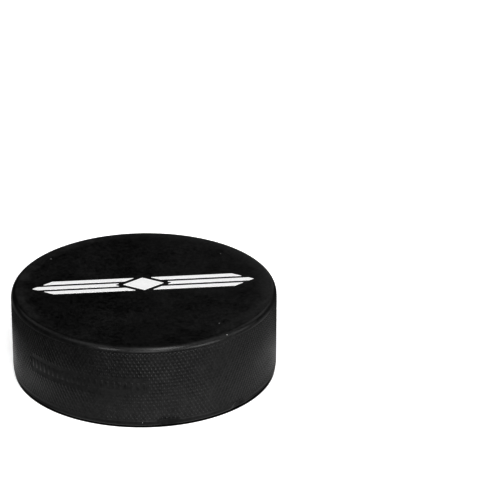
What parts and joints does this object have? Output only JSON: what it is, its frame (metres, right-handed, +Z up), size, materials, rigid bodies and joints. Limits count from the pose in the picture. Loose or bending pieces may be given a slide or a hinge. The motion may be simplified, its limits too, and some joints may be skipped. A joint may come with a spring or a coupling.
{
  "type": "hockey puck",
  "caption": "Ice hockey puck: a flat black rubber disc with rounded rims, a knurled edge band and a plain white mark printed on its upper face.",
  "frame": {"origin": "centre of the flat underside, on the surface that the puck rests on", "axes": "+Z up through the middle of the disc, +X along the printed mark, -Y the side that the mark is read from"},
  "size_m": [0.0762, 0.0762, 0.0255],
  "materials": {
    "rubber": "matte moulded vulcanised rubber, slightly hazy, with a fine raised knurl round the edge",
    "ink": "white screen-printed ink, satin"
  },
  "bodies": {
    "root": {"rubber_body": "rubber", "print_lozenge": "ink", "print_stripes_left": "ink", "print_stripes_right": "ink"}
  },
  "joints": []
}
